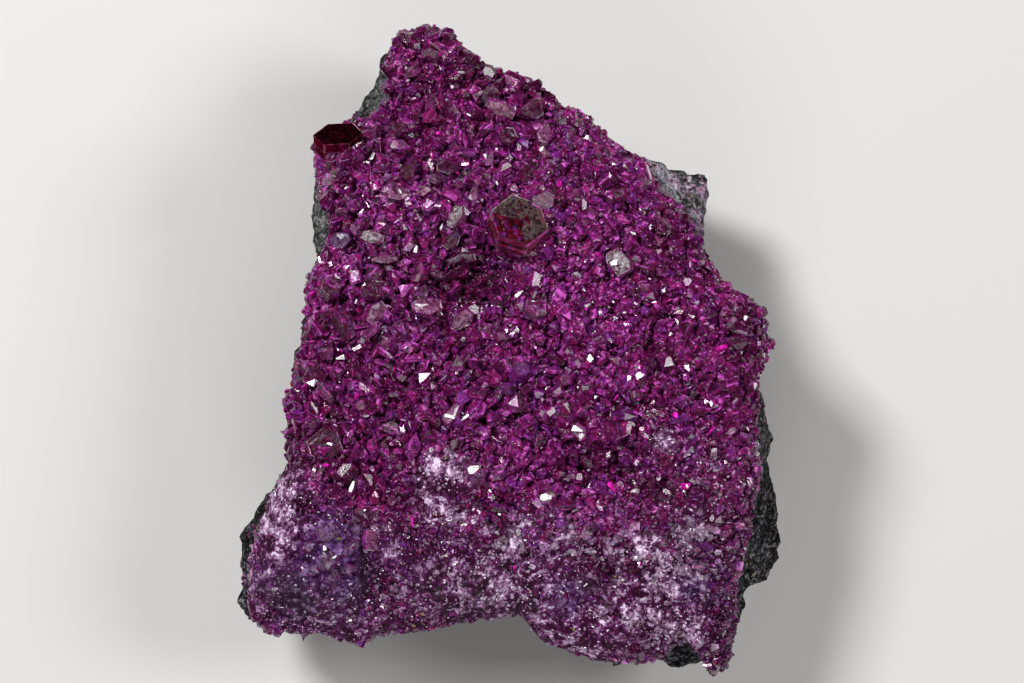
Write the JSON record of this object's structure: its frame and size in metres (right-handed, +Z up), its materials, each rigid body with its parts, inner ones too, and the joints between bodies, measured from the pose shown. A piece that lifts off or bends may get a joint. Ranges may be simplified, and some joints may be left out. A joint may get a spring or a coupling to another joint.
{
  "type": "kammererite specimen",
  "caption": "Broken plate of dark chromite rock with a crust of intergrown magenta kammererite crystals over its upper face.",
  "frame": {"origin": "centre of the bounding box's base, on the surface that the specimen lies on", "axes": "+Z up out of the crystal face, +Y towards the narrow end, +X across the plate towards the rounded lobe"},
  "size_m": [0.0558, 0.0662, 0.0246],
  "materials": {
    "chromite_rock": "rough granular broken rock, charcoal black with grey grains and a few yellow-green specks",
    "kammererite": "glassy translucent deep magenta crystals with pearly end faces, paler and granular at the wide end"
  },
  "bodies": {
    "root": {"chromite_matrix": "chromite_rock", "kammererite_crust": "kammererite"}
  },
  "joints": []
}
